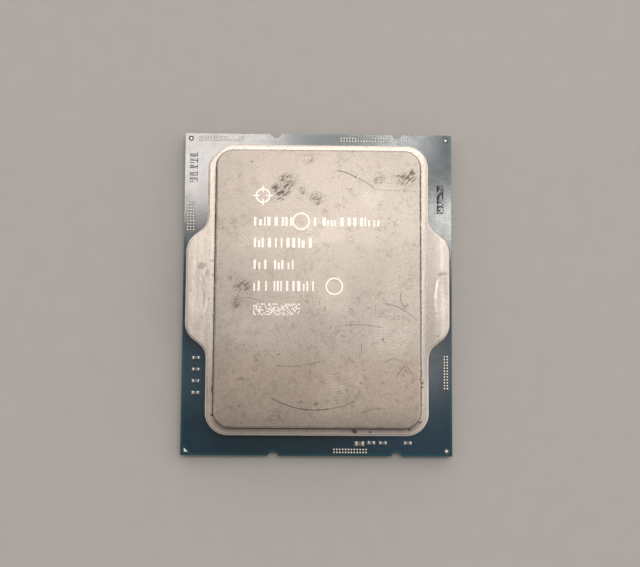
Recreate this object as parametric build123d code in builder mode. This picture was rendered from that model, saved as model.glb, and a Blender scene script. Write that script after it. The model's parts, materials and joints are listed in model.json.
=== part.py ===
"""Desktop land-grid processor: laminate package, bare die and a bonded nickel-plated copper lid.

Millimetres. The origin is under the middle of the package, at the height of the surface that the
land-side capacitors stand on. +X is right and +Y is up when the lid is seen from above with the
pin-one corner at the lower left; +Z leaves the lid's top face.
"""

from build123d import *

import os
from dataclasses import dataclass
from math import sqrt

# ---- Package laminate -------------------------------------------------------------------------
package_width = 37.5
package_length = 45.0
core_thickness = 0.73
build_up_thickness = 0.18
mask_thickness = 0.03
mask_clearance = 0.06  # bare ring that a mask opening leaves around what stands in it

notch_radius = 0.75
notch_depth = 0.55
left_notch_x = -5.98
right_notch_x = 11.05

# ---- Lid --------------------------------------------------------------------------------------
lid_centre_y = 0.46
lid_side_margin = 3.45  # package edge to flange
lid_end_margin = 2.41
sealant_thickness = 0.12
lid_height = 3.08  # foot to top face
flange_thickness = 1.83
flange_corner_radius = 3.1
flange_edge_radius = 0.20
key_corner_x = 2.5  # the flange's top left corner is cut off and blended
key_corner_y = 2.3
key_corner_blend = 2.4

ear_centre_y = 0.60
ear_margin = 0.55  # package edge to the ear's tip
ear_tip_length = 12.66
ear_root_length = 17.24
ear_tip_radius = 2.9
ear_root_radius = 2.4

plateau_centre_y = 0.52
step_side_width = 1.22  # flange edge to plateau
step_end_width = 1.03
plateau_corner_radius = 2.3
shoulder_radius = 0.30

foot_width = 2.4
cavity_corner_radius = 2.0

sealant_inset = 0.4
sealant_bead_width = 1.6
vent_gap = 2.0

# ---- Die and what joins it to the lid -----------------------------------------------------------
die_width = 10.5
die_length = 15.5
die_thickness = 0.60
bump_height = 0.07
bump_margin = 0.15
underfill_reach = 0.8
underfill_slope = 35.0  # degrees from the upright
thermal_interface_thickness = 0.20
thermal_interface_overhang = 0.25

# ---- Test pads, alignment marks and pin-one mark ------------------------------------------------
pad_diameter = 0.20
pad_sides = 6
pad_pitch = 0.402
pad_thickness = 0.02

top_pad_margin = 0.515
top_left_pad_margin = 2.10
top_left_pad_count = 16
top_left_gap = range(10, 14)
top_right_pad_x = 3.21
top_right_pad_count = 17
top_right_gap = range(6, 12)
square_pad_margin = 5.95
left_pad_margin = 0.49
left_pad_ear_gap = 1.87
left_pad_rows = 11
right_pad_margin = 0.65
right_pad_ear_gap = 3.02
right_pad_rows = 12
bottom_pad_x = 2.4
bottom_pad_margin = 0.50
bottom_pad_count = 12

fiducial_diameter = 0.34
fiducial_sides = 12
fiducial_side_margin = 0.78
fiducial_end_margin = 0.72
pin_mark_leg = 0.53
pin_mark_side_margin = 0.50
pin_mark_end_margin = 0.48


# ---- Chip capacitors ----------------------------------------------------------------------------
@dataclass
class Chip:
    """One size of ceramic chip capacitor, lying with its length along X."""

    length: float
    width: float
    height: float
    termination: float


small_chip = Chip(length=1.00, width=0.44, height=0.45, termination=0.25)
large_chip = Chip(length=1.20, width=0.60, height=0.55, termination=0.28)
land_chip = Chip(length=1.00, width=0.50, height=0.40, termination=0.25)
termination_wall = 0.02
termination_chamfer = 0.03
solder_height = 0.05
solder_toe = 0.08
solder_rise = 0.6  # share of the chip's height that the solder climbs
solder_lip = 0.02

side_chip_margin = 2.00
side_chip_ear_gap = 1.10
side_chip_pitch = 1.6
side_chip_count = 4
large_chip_x = 5.90
large_chip_margin = 1.73
edge_chip_margin = 1.85
edge_chip_gaps = [0.37, 0.42, 2.28]  # between solder toes, counted from the large chip
land_chip_pitch_x = 2.2
land_chip_pitch_y = 1.9
land_chip_columns = 5
land_chip_rows = 9

# ---- Heights that follow --------------------------------------------------------------------------
lower_build_up_z = land_chip.height + solder_height
lower_mask_z = lower_build_up_z - mask_thickness
core_z = lower_build_up_z + build_up_thickness
upper_build_up_z = core_z + core_thickness
upper_build_up_top = upper_build_up_z + build_up_thickness
mask_top = upper_build_up_top + mask_thickness
foot_z = mask_top + sealant_thickness
flange_top = foot_z + flange_thickness
die_z = mask_top + bump_height
die_top = die_z + die_thickness
cavity_ceiling = die_top + thermal_interface_thickness

# ---- Widths and places that follow ------------------------------------------------------------------
package_side = package_width / 2
package_end = package_length / 2
lid_middle = (0, lid_centre_y)
flange_width = package_width - 2 * lid_side_margin
flange_length = package_length - 2 * lid_end_margin
ear_width = package_width - 2 * ear_margin
plateau_middle = (0, plateau_centre_y)
plateau_width = flange_width - 2 * step_side_width
plateau_length = flange_length - 2 * step_end_width
cavity_width = flange_width - 2 * foot_width
cavity_length = flange_length - 2 * foot_width

first_side_chip_y = ear_centre_y - ear_root_length / 2 - side_chip_ear_gap
side_chip_places = [
    (side_chip_margin - package_side, first_side_chip_y - row * side_chip_pitch)
    for row in range(side_chip_count)
]
large_chip_place = (large_chip_x, large_chip_margin - package_end)


def chip_row(first_toe_x, y, gaps):
    """Place small chips in a row after the given solder toe, with these gaps between toes."""
    places = []
    toe_x = first_toe_x
    half_reach = small_chip.length / 2 + solder_toe
    for gap in gaps:
        places.append((toe_x + gap + half_reach, y))
        toe_x += gap + 2 * half_reach
    return places


large_chip_toe_x = large_chip_x + large_chip.length / 2 + solder_toe
edge_chip_places = chip_row(large_chip_toe_x, edge_chip_margin - package_end, edge_chip_gaps)
land_chip_places = [
    (
        (column - (land_chip_columns - 1) / 2) * land_chip_pitch_x,
        (row - (land_chip_rows - 1) / 2) * land_chip_pitch_y + lid_centre_y,
    )
    for column in range(land_chip_columns)
    for row in range(land_chip_rows)
]
fiducial_x = package_side - fiducial_side_margin
fiducial_y = package_end - fiducial_end_margin
fiducial_places = [
    (-fiducial_x, fiducial_y),
    (fiducial_x, fiducial_y),
    (fiducial_x, -fiducial_y),
]

parts_folder = "parts"
os.makedirs(parts_folder, exist_ok=True)


def save(name, part):
    """Label a finished piece and write it as its own STEP file."""
    part.label = name
    export_step(part, f"{parts_folder}/{name}.step")


# ---- Laminate layers: every layer carries the four routed keying notches -----------------------------
def package_outline():
    """Draw the package's outline with its keying notches in the sketch that is open."""
    Rectangle(package_width, package_length)
    notch_y = package_end + notch_radius - notch_depth
    with Locations(*[(x, side * notch_y) for x in (left_notch_x, right_notch_x) for side in (-1, 1)]):
        Circle(notch_radius, mode=Mode.SUBTRACT)


def chip_windows(chip, places):
    """Cut one mask opening per chip in the sketch that is open."""
    window_length = chip.length + 2 * (solder_toe + mask_clearance)
    with Locations(*places):
        Rectangle(window_length, chip.width + 2 * mask_clearance, mode=Mode.SUBTRACT)


with BuildPart() as solder_mask_lower:
    with BuildSketch(Plane.XY.offset(lower_mask_z)):
        package_outline()
        chip_windows(land_chip, land_chip_places)
    extrude(amount=mask_thickness)
save("solder_mask_lower", solder_mask_lower.part)

with BuildPart() as build_up_lower:
    with BuildSketch(Plane.XY.offset(lower_build_up_z)):
        package_outline()
    extrude(amount=build_up_thickness)
save("build_up_lower", build_up_lower.part)

with BuildPart() as substrate_core:
    with BuildSketch(Plane.XY.offset(core_z)):
        package_outline()
    extrude(amount=core_thickness)
save("substrate_core", substrate_core.part)

with BuildPart() as build_up_upper:
    with BuildSketch(Plane.XY.offset(upper_build_up_z)):
        package_outline()
    extrude(amount=build_up_thickness)
save("build_up_upper", build_up_upper.part)


def pin_mark_triangle(grow=0.0, mode=Mode.ADD):
    """Draw the right-angled pin-one triangle with each of its sides moved outwards by grow."""
    corner_x = pin_mark_side_margin - package_side - grow
    corner_y = pin_mark_end_margin - package_end - grow
    leg = pin_mark_leg + grow * (2 + sqrt(2))
    Polygon(
        (corner_x, corner_y),
        (corner_x + leg, corner_y),
        (corner_x, corner_y + leg),
        align=None,
        mode=mode,
    )


with BuildPart() as solder_mask_upper:
    with BuildSketch(Plane.XY.offset(upper_build_up_top)):
        package_outline()
        chip_windows(small_chip, side_chip_places + edge_chip_places)
        chip_windows(large_chip, [large_chip_place])
        with Locations(*fiducial_places):
            RegularPolygon(
                fiducial_diameter / 2 + mask_clearance, fiducial_sides, mode=Mode.SUBTRACT
            )
        pin_mark_triangle(grow=mask_clearance, mode=Mode.SUBTRACT)
    extrude(amount=mask_thickness)
save("solder_mask_upper", solder_mask_upper.part)


# ---- Plated copper on the lid side ------------------------------------------------------------------
with BuildPart() as fiducials:
    with BuildSketch(Plane.XY.offset(upper_build_up_top)):
        with Locations(*fiducial_places):
            RegularPolygon(fiducial_diameter / 2, fiducial_sides)
    extrude(amount=pad_thickness)
save("fiducials", fiducials.part)

with BuildPart() as pin_one_mark:
    with BuildSketch(Plane.XY.offset(upper_build_up_top)):
        pin_mark_triangle()
    extrude(amount=pad_thickness)
save("pin_one_mark", pin_one_mark.part)


def pad_grid(first_x, first_y, columns, rows, missing=()):
    """List the pads of one group from its lower left pad, leaving out the (column, row) pairs given."""
    return [
        (first_x + column * pad_pitch, first_y + row * pad_pitch)
        for column in range(columns)
        for row in range(rows)
        if (column, row) not in missing
    ]


top_pad_y = package_end - top_pad_margin - pad_pitch
top_left_pad_x = top_left_pad_margin - package_side
square_pad_x = package_side - square_pad_margin - pad_pitch
left_pad_x = left_pad_margin - package_side
left_pad_y = ear_centre_y + ear_tip_length / 2 + left_pad_ear_gap
right_pad_x = package_side - right_pad_margin - pad_pitch
right_pad_y = ear_centre_y - ear_tip_length / 2 - right_pad_ear_gap - (right_pad_rows - 1) * pad_pitch
bottom_pad_y = bottom_pad_margin - package_end

pad_groups = {
    "test_pads_top_left": pad_grid(
        top_left_pad_x, top_pad_y, top_left_pad_count, 2, [(i, 1) for i in top_left_gap]
    ),
    "test_pads_top_right": pad_grid(
        top_right_pad_x, top_pad_y, top_right_pad_count, 2, [(i, 1) for i in top_right_gap]
    ),
    "test_pads_square": pad_grid(square_pad_x, top_pad_y, 2, 2),
    "test_pads_left": pad_grid(left_pad_x, left_pad_y, 3, left_pad_rows, [(0, left_pad_rows - 1)]),
    "test_pads_right": pad_grid(right_pad_x, right_pad_y, 2, right_pad_rows),
    "test_pads_bottom": pad_grid(bottom_pad_x, bottom_pad_y, bottom_pad_count, 2),
}

for group_name, pad_places in pad_groups.items():
    with BuildPart() as test_pads:
        with BuildSketch(Plane.XY.offset(mask_top)):
            with Locations(*pad_places):
                RegularPolygon(pad_diameter / 2, pad_sides)
        extrude(amount=pad_thickness)
    save(group_name, test_pads.part)


# ---- Lid: two stamped levels over a cavity, with an ear on each side for the socket's clamp ----------
def flange_corners():
    """List the flange's corners, each as x, y and its blend radius."""
    side = flange_width / 2
    tip = ear_width / 2
    end = lid_centre_y + flange_length / 2
    low_end = lid_centre_y - flange_length / 2
    root = ear_centre_y + ear_root_length / 2
    low_root = ear_centre_y - ear_root_length / 2
    ear = ear_centre_y + ear_tip_length / 2
    low_ear = ear_centre_y - ear_tip_length / 2
    return [
        (-side, end - key_corner_y, key_corner_blend),
        (-side + key_corner_x, end, key_corner_blend),
        (side, end, flange_corner_radius),
        (side, root, ear_root_radius),
        (tip, ear, ear_tip_radius),
        (tip, low_ear, ear_tip_radius),
        (side, low_root, ear_root_radius),
        (side, low_end, flange_corner_radius),
        (-side, low_end, flange_corner_radius),
        (-side, low_root, ear_root_radius),
        (-tip, low_ear, ear_tip_radius),
        (-tip, ear, ear_tip_radius),
        (-side, root, ear_root_radius),
    ]


with BuildPart() as lid:
    with BuildSketch(Plane.XY.offset(foot_z)):
        with BuildLine():
            FilletPolyline(
                *[(x, y) for x, y, _ in flange_corners()],
                radius=[blend for _, _, blend in flange_corners()],
                close=True,
            )
        make_face()
    extrude(amount=flange_thickness)
    flange_face = lid.faces().sort_by(Axis.Z)[-1]
    fillet(flange_face.edges(), flange_edge_radius)

    with BuildSketch(Plane.XY.offset(flange_top)):
        with Locations(plateau_middle):
            RectangleRounded(plateau_width, plateau_length, plateau_corner_radius)
    extrude(amount=lid_height - flange_thickness)
    seat_face = lid.faces().sort_by(Axis.Z)[-1]
    fillet(seat_face.edges(), shoulder_radius)

    with BuildSketch(Plane.XY.offset(foot_z)):
        with Locations(lid_middle):
            RectangleRounded(cavity_width, cavity_length, cavity_corner_radius)
    extrude(amount=cavity_ceiling - foot_z, mode=Mode.SUBTRACT)
save("lid", lid.part)

with BuildPart() as lid_sealant:
    bead_width = flange_width - 2 * sealant_inset
    bead_length = flange_length - 2 * sealant_inset
    inner_width = bead_width - 2 * sealant_bead_width
    inner_length = bead_length - 2 * sealant_bead_width
    with BuildSketch(Plane.XY.offset(mask_top)):
        with Locations(lid_middle):
            RectangleRounded(bead_width, bead_length, flange_corner_radius)
            RectangleRounded(inner_width, inner_length, cavity_corner_radius, mode=Mode.SUBTRACT)
            Rectangle(vent_gap, flange_length, mode=Mode.SUBTRACT)
    extrude(amount=sealant_thickness)
save("lid_sealant", lid_sealant.part)


# ---- Die stack, from the laminate up to the cavity's ceiling -------------------------------------------
with BuildPart() as solder_bump_layer:
    with BuildSketch(Plane.XY.offset(mask_top)):
        with Locations(lid_middle):
            Rectangle(die_width - 2 * bump_margin, die_length - 2 * bump_margin)
    extrude(amount=bump_height)
save("solder_bump_layer", solder_bump_layer.part)

with BuildPart() as silicon_die:
    with BuildSketch(Plane.XY.offset(die_z)):
        with Locations(lid_middle):
            Rectangle(die_width, die_length)
    extrude(amount=die_thickness)
save("silicon_die", silicon_die.part)

with BuildPart() as underfill_fillet:
    with BuildSketch(Plane.XY.offset(mask_top)):
        with Locations(lid_middle):
            RectangleRounded(
                die_width + 2 * underfill_reach, die_length + 2 * underfill_reach, underfill_reach
            )
    extrude(amount=bump_height + die_thickness / 2, taper=underfill_slope)
    with BuildSketch(Plane.XY.offset(mask_top)):
        with Locations(lid_middle):
            Rectangle(die_width - 2 * bump_margin, die_length - 2 * bump_margin)
    extrude(amount=bump_height, mode=Mode.SUBTRACT)
    with BuildSketch(Plane.XY.offset(die_z)):
        with Locations(lid_middle):
            Rectangle(die_width, die_length)
    extrude(amount=die_thickness, mode=Mode.SUBTRACT)
save("underfill_fillet", underfill_fillet.part)

with BuildPart() as thermal_interface:
    with BuildSketch(Plane.XY.offset(die_top)):
        with Locations(lid_middle):
            Rectangle(
                die_width + 2 * thermal_interface_overhang,
                die_length + 2 * thermal_interface_overhang,
            )
    extrude(amount=thermal_interface_thickness)
save("thermal_interface", thermal_interface.part)


# ---- Chip capacitors: ceramic bodies, plated end caps and solder joints ----------------------------------
def chip_bodies(chip, places, base_z):
    """Ceramic blocks, short of the chip's full size by the wall of the end caps."""
    with BuildPart() as bodies:
        with BuildSketch(Plane.XY.offset(base_z + termination_wall)):
            with Locations(*places):
                Rectangle(chip.length - 2 * termination_wall, chip.width - 2 * termination_wall)
        extrude(amount=chip.height - 2 * termination_wall)
    return bodies.part


def chip_terminations(chip, places, base_z):
    """Plated caps, chamfered outside, that wrap both ends of each ceramic block."""
    reach = (chip.length - chip.termination) / 2
    ends = [(x + side * reach, y) for x, y in places for side in (-1, 1)]
    with BuildPart() as caps:
        with BuildSketch(Plane.XY.offset(base_z)):
            with Locations(*ends):
                Rectangle(chip.termination, chip.width)
        extrude(amount=chip.height)
        chamfer(caps.edges().filter_by(Axis.Z), termination_chamfer)
        with BuildSketch(Plane.XY.offset(base_z + termination_wall)):
            with Locations(*places):
                Rectangle(chip.length - 2 * termination_wall, chip.width - 2 * termination_wall)
        extrude(amount=chip.height - 2 * termination_wall, mode=Mode.SUBTRACT)
    return caps.part


def solder_joints(chip, places):
    """Solder under each end cap, with a hollow fillet that climbs the cap's end."""
    rise = solder_height + solder_rise * chip.height
    with BuildPart() as joints:
        for x, y in places:
            for side in (-1, 1):
                end_plane = Plane(
                    origin=(x + side * chip.length / 2, y, upper_build_up_top),
                    x_dir=(side, 0, 0),
                    z_dir=(0, -side, 0),
                )
                with BuildSketch(end_plane):
                    with BuildLine():
                        Polyline(
                            (0, rise),
                            (0, solder_height),
                            (-chip.termination, solder_height),
                            (-chip.termination, 0),
                            (solder_toe, 0),
                            (solder_toe, solder_lip),
                        )
                        ThreePointArc(
                            (solder_toe, solder_lip),
                            (solder_toe * 0.3, solder_lip + (rise - solder_lip) * 0.3),
                            (0, rise),
                        )
                    make_face()
                extrude(amount=chip.width / 2 - termination_chamfer, both=True)
    return joints.part


chip_base = upper_build_up_top + solder_height

save("side_capacitor_bodies", chip_bodies(small_chip, side_chip_places, chip_base))
save("side_capacitor_terminals", chip_terminations(small_chip, side_chip_places, chip_base))
save("side_capacitor_solder", solder_joints(small_chip, side_chip_places))

save("edge_capacitor_bodies", chip_bodies(small_chip, edge_chip_places, chip_base))
save("edge_capacitor_terminals", chip_terminations(small_chip, edge_chip_places, chip_base))
save("edge_capacitor_solder", solder_joints(small_chip, edge_chip_places))

save("large_capacitor_body", chip_bodies(large_chip, [large_chip_place], chip_base))
save("large_capacitor_terminals", chip_terminations(large_chip, [large_chip_place], chip_base))
save("large_capacitor_solder", solder_joints(large_chip, [large_chip_place]))

land_chip_ends = [
    (x + side * (land_chip.length - land_chip.termination) / 2, y)
    for x, y in land_chip_places
    for side in (-1, 1)
]

with BuildPart() as land_capacitor_bodies:
    with BuildSketch(Plane.XY.offset(termination_wall)):
        with Locations(*land_chip_places):
            Rectangle(
                land_chip.length - 2 * land_chip.termination, land_chip.width - 2 * termination_wall
            )
    extrude(amount=land_chip.height - 2 * termination_wall)
save("land_capacitor_bodies", land_capacitor_bodies.part)

# Each land-side end cap is one piece with the solder that joins it to the laminate.
with BuildPart() as land_capacitor_terminals:
    with BuildSketch(Plane.XY):
        with Locations(*land_chip_ends):
            Rectangle(land_chip.termination, land_chip.width)
    extrude(amount=land_chip.height + solder_height)
save("land_capacitor_terminals", land_capacitor_terminals.part)
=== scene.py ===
import json
import math
import random
from functools import partialmethod

import bmesh
import bpy
from mathutils import Matrix, Vector


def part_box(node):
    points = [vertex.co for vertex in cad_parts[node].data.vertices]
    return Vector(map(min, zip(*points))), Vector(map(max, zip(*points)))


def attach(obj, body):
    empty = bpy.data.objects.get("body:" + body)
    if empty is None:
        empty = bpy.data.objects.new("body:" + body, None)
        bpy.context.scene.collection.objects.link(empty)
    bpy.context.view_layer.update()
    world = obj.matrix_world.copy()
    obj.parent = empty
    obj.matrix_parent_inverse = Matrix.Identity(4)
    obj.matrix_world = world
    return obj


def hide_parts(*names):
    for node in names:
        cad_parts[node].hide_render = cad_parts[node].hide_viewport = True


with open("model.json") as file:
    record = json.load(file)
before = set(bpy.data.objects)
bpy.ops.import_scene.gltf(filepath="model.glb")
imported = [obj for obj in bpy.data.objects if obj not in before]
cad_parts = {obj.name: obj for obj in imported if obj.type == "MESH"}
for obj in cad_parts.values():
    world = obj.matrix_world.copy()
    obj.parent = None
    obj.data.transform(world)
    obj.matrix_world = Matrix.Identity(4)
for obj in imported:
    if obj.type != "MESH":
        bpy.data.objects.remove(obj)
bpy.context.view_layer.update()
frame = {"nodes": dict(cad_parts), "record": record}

# ---- Bench, camera and light ------------------------------------------------------------------
# The processor lies lid up on a plain pale bench and is looked at from almost straight above.
# A soft sky lights it evenly, darker overhead where the camera hangs, and window-like panels
# beyond the far edge and the right side give the sheen that fades down the lid.
mm = 0.001
scene = bpy.context.scene
scene.view_settings.view_transform = "Standard"
laminate_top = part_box("solder_mask_upper")[1].z

camera_place = Vector((-1.638 * mm, -10.507 * mm, laminate_top + 139.222 * mm))
camera_target = Vector((0.331 * mm, 1.335 * mm, laminate_top))
camera_roll = math.radians(0.378)
camera_sensor = 36.0
lens_per_sensor_width = 1.5625
nearest_seen, farthest_seen = 0.005, 20.0


def aimed(place, target, roll=0.0):
    """Placement of a camera or a panel that looks from place to target, with +Y up."""
    back = (place - target).normalized()
    right = Vector((0, 1, 0)).cross(back).normalized()
    up = back.cross(right)
    facing = Matrix((right, up, back)).transposed() @ Matrix.Rotation(roll, 3, "Z")
    return Matrix.Translation(place) @ facing.to_4x4()


camera = bpy.data.objects.new("camera", bpy.data.cameras.new("camera"))
camera.data.sensor_width = camera_sensor
camera.data.lens = camera_sensor * lens_per_sensor_width
camera.data.clip_start = nearest_seen
camera.data.clip_end = farthest_seen
camera.matrix_world = aimed(camera_place, camera_target, camera_roll)
scene.collection.objects.link(camera)
scene.camera = camera


def soft_sky(colour, overhead, around, dark_from, dark_to, shade_axis):
    """A plain sky whose radiance rises from overhead to around, away from the shaded axis."""
    world = bpy.data.worlds.new("studio_sky")
    world.use_nodes = True
    tree = world.node_tree
    direction = tree.nodes.new("ShaderNodeTexCoord").outputs["Generated"]
    cosine = tree.nodes.new("ShaderNodeVectorMath")
    cosine.operation = "DOT_PRODUCT"
    cosine.inputs[1].default_value = Vector(shade_axis).normalized()
    tree.links.new(direction, cosine.inputs[0])
    radiance = tree.nodes.new("ShaderNodeMapRange")
    radiance.interpolation_type = "SMOOTHSTEP"
    ends = (math.cos(math.radians(dark_from)), math.cos(math.radians(dark_to)), overhead, around)
    for socket, number in zip(list(radiance.inputs)[1:5], ends):
        socket.default_value = number
    tree.links.new(cosine.outputs["Value"], radiance.inputs["Value"])
    background = tree.nodes["Background"]
    background.inputs["Color"].default_value = (*colour, 1)
    tree.links.new(radiance.outputs[0], background.inputs["Strength"])
    scene.world = world


soft_sky(
    colour=(1.0, 0.912, 0.835), overhead=0.21, around=1.66,
    dark_from=12.0, dark_to=108.0, shade_axis=(-0.25, -0.55, 1.0),
)


def soft_panel(name, place, size, radiance, colour):
    """A rectangular lamp that faces the processor; radiance is how bright its face looks."""
    lamp = bpy.data.lights.new(name, "AREA")
    lamp.shape = "RECTANGLE"
    lamp.size, lamp.size_y = size
    lamp.color = colour
    lamp.energy = radiance * math.pi * size[0] * size[1]
    panel = bpy.data.objects.new(name, lamp)
    panel.matrix_world = aimed(Vector(place), Vector((0, 0, laminate_top)))
    scene.collection.objects.link(panel)


panel_height = 0.50
for panel_name, panel_place, *panel_light in (
    ("window_panel", (-0.0645, 0.1225), (0.091, 0.065), 14.7, (1.0, 0.915, 0.865)),
    ("far_panel", (0.010, 0.137), (0.072, 0.034), 5.2, (1.0, 0.98, 0.95)),
    ("far_right_panel", (0.060, 0.138), (0.034, 0.028), 15.5, (1.0, 0.98, 0.95)),
    ("corner_panel", (0.0915, 0.0845), (0.042, 0.029), 18.5, (1.0, 0.97, 0.93)),
    ("right_panel", (0.062, -0.005), (0.056, 0.042), 2.6, (1.0, 0.97, 0.95)),
    ("side_panel", (0.170, 0.130), (0.115, 0.130), 6.2, (1.0, 0.94, 0.88)),
    ("left_panel", (-0.078, -0.012), (0.050, 0.034), 0.85, (0.60, 0.76, 1.0)),
    ("near_panel", (0.064, -0.046), (0.050, 0.044), 0.48, (0.16, 0.51, 1.0)),
):
    soft_panel(panel_name, (*panel_place, panel_height), *panel_light)


class Amount:
    """A number that varies over a surface: a place, a noise, or a mark reckoned from them."""

    def __init__(self, finish, socket):
        self.finish = finish
        self.socket = socket

    def reckon(self, operation, *others):
        return self.finish.reckon(operation, self, *others)

    __mul__ = partialmethod(reckon, "MULTIPLY")
    __add__ = partialmethod(reckon, "ADD")
    __sub__ = partialmethod(reckon, "SUBTRACT")
    __abs__ = partialmethod(reckon, "ABSOLUTE")
    root = partialmethod(reckon, "SQRT")
    at_most = partialmethod(reckon, "MINIMUM")
    at_least = partialmethod(reckon, "MAXIMUM")
    above = partialmethod(reckon, "GREATER_THAN")

    def __rsub__(self, other):
        return self.finish.reckon("SUBTRACT", other, self)

    def squared_plus(self, other):
        return self.reckon("MULTIPLY_ADD", self, other)

    def capped(self):
        """The same amount, held between 0 and 1."""
        self.socket.node.use_clamp = True
        return self

    def fade(self, low, high):
        """0 at low and 1 at high, smoothly between; low may be above high."""
        ends = (high, low, 1.0, 0.0) if low > high else (low, high, 0.0, 1.0)
        return self.mapped(*ends, interpolation_type="SMOOTHSTEP")

    def between(self, low, high):
        """From low to high as the amount goes from 0 to 1."""
        return self.mapped(0.0, 1.0, low, high)

    def mapped(self, *ends, **settings):
        node = self.finish.add("ShaderNodeMapRange", **settings)
        for socket, value in zip(node.inputs, (self, *ends)):
            self.finish.plug(socket, value)
        return Amount(self.finish, node.outputs[0])


def most(amounts):
    """The largest of several amounts, each made only when its turn comes."""
    largest = None
    for amount in amounts:
        largest = amount if largest is None else largest.at_least(amount)
    return largest


class Finish:
    """The surface finish of one kind of part: a shader and the textures that feed it, in mm."""

    def __init__(self, name, colour, roughness, metallic=0.0):
        self.material = bpy.data.materials.new(name)
        self.material.use_nodes = True
        self.tree = self.material.node_tree
        self.shader = self.tree.nodes["Principled BSDF"]
        self.shader.inputs["Base Color"].default_value = (*colour, 1)
        self.shader.inputs["Roughness"].default_value = roughness
        self.shader.inputs["Metallic"].default_value = metallic
        self.material.diffuse_color = (*colour, 1)
        self.colour = colour
        coordinates = self.add("ShaderNodeTexCoord")
        self.facing = coordinates.outputs["Normal"]
        texture_scale = self.add("ShaderNodeMapping")
        self.tree.links.new(coordinates.outputs["Object"], texture_scale.inputs["Vector"])
        texture_scale.inputs["Scale"].default_value = (1 / mm, 1 / mm, 1 / mm)
        self.texture_place = texture_scale.outputs[0]
        scale = self.add("ShaderNodeVectorMath", operation="SCALE")
        self.tree.links.new(coordinates.outputs["Object"], scale.inputs[0])
        scale.inputs["Scale"].default_value = 1 / mm
        self.place = scale.outputs[0]
        split = self.add("ShaderNodeSeparateXYZ")
        self.tree.links.new(self.place, split.inputs[0])
        self.x, self.y, self.z = (Amount(self, socket) for socket in split.outputs)

    def add(self, kind, **settings):
        node = self.tree.nodes.new(kind)
        for key, value in settings.items():
            setattr(node, key, value)
        return node

    def plug(self, socket, value):
        """Set a socket to a number or colour, or link it to another node's output."""
        if isinstance(value, Amount):
            value = value.socket
        if isinstance(value, bpy.types.NodeSocket):
            self.tree.links.new(value, socket)
        elif isinstance(value, tuple) and len(value) == 3 and len(socket.default_value) == 4:
            socket.default_value = (*value, 1)
        else:
            socket.default_value = value

    def reckon(self, operation, *values):
        node = self.add("ShaderNodeMath", operation=operation)
        for socket, value in zip(node.inputs, values):
            self.plug(socket, value)
        return Amount(self, node.outputs[0])

    def moved(self, place=(0.0, 0.0, 0.0), turn=0.0, stretch=(1.0, 1.0, 1.0)):
        """Coordinates about a place, turned by an angle in degrees, then stretched."""
        node = self.add("ShaderNodeMapping", vector_type="TEXTURE")
        self.plug(node.inputs["Vector"], self.texture_place)
        node.inputs["Location"].default_value = place
        node.inputs["Rotation"].default_value = (0.0, 0.0, math.radians(turn))
        node.inputs["Scale"].default_value = stretch
        return node.outputs[0]

    def reckon_arm(self, operation, *values):
        node = self.add("ShaderNodeVectorMath", operation=operation)
        for socket, value in zip(node.inputs, values):
            self.plug(socket, value)
        return node.outputs

    def from_point(self, point):
        """The arm that reaches from a fixed point, in mm."""
        return self.reckon_arm("SUBTRACT", self.place, point)["Vector"]

    def reach(self, arm, direction):
        """How far an arm reaches along a direction."""
        return Amount(self, self.reckon_arm("DOT_PRODUCT", arm, direction)["Value"])

    def length(self, arm):
        return Amount(self, self.reckon_arm("LENGTH", arm)["Value"])

    def cloud(self, size, detail=2.0, rough=0.5, warp=0.0, place=None):
        """Noise between 0 and 1 with features about size mm across."""
        node = self.add("ShaderNodeTexNoise")
        self.plug(node.inputs["Vector"], place or self.texture_place)
        self.plug(node.inputs["Scale"], 1.0 / size)
        self.plug(node.inputs["Detail"], detail)
        self.plug(node.inputs["Roughness"], rough)
        self.plug(node.inputs["Distortion"], warp)
        return Amount(self, node.outputs["Fac"])

    def tint(self, amount, under, over, how="MIX"):
        """The colour under, covered by over where amount is 1."""
        node = self.add("ShaderNodeMix", data_type="RGBA", blend_type=how)
        self.plug(node.inputs[0], amount)
        self.plug(node.inputs[6], under)
        self.plug(node.inputs[7], over)
        return node.outputs[2]

    def relief(self, height, depth, under=None):
        """Bump from a height between 0 and 1 that stands for depth mm."""
        node = self.add("ShaderNodeBump")
        self.plug(node.inputs["Height"], height)
        self.plug(node.inputs["Distance"], depth * mm)
        self.plug(node.inputs["Strength"], 1.0)
        if under is not None:
            self.plug(node.inputs["Normal"], under)
        return node.outputs[0]

    def stain(self, amount, colour, how="MIX"):
        """Lay one more colour over the finish so far, where amount is 1."""
        self.colour = self.tint(amount, self.colour, colour, how)

    def coat(self, **sockets):
        for name, value in sockets.items():
            self.plug(self.shader.inputs[name.replace("_", " ").title()], value)

    def surface(self, tone, dark, pale, roughness, depth, grain=None, bumps=None):
        """Colour from dark to pale by tone, roughness by grain, and relief in mm by bumps."""
        grain = grain or tone
        self.coat(base_color=self.tint(tone, dark, pale), roughness=grain.between(*roughness))
        self.coat(normal=self.relief(bumps or grain, depth))


def paint(piece, finish):
    """Give a piece one finish all over."""
    if piece.material_slots:
        for slot in piece.material_slots:
            slot.material = finish.material
    else:
        piece.data.materials.append(finish.material)


bench_half = 1.2
bench_corners = [
    (x * bench_half, y * bench_half, 0.0) for x, y in ((-1, -1), (1, -1), (1, 1), (-1, 1))
]
bench = bpy.data.objects.new("bench", bpy.data.meshes.new("bench"))
bench.data.from_pydata(bench_corners, [], [(0, 1, 2, 3)])
scene.collection.objects.link(bench)
bench_finish = Finish("bench_top", (0.42, 0.41, 0.40), 0.75)
bench_grain = bench_finish.cloud(3.0, detail=3.0)
bench_finish.coat(
    base_color=bench_finish.tint(bench_grain, (0.46, 0.452, 0.452), (0.50, 0.492, 0.492)),
)
paint(bench, bench_finish)

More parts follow.
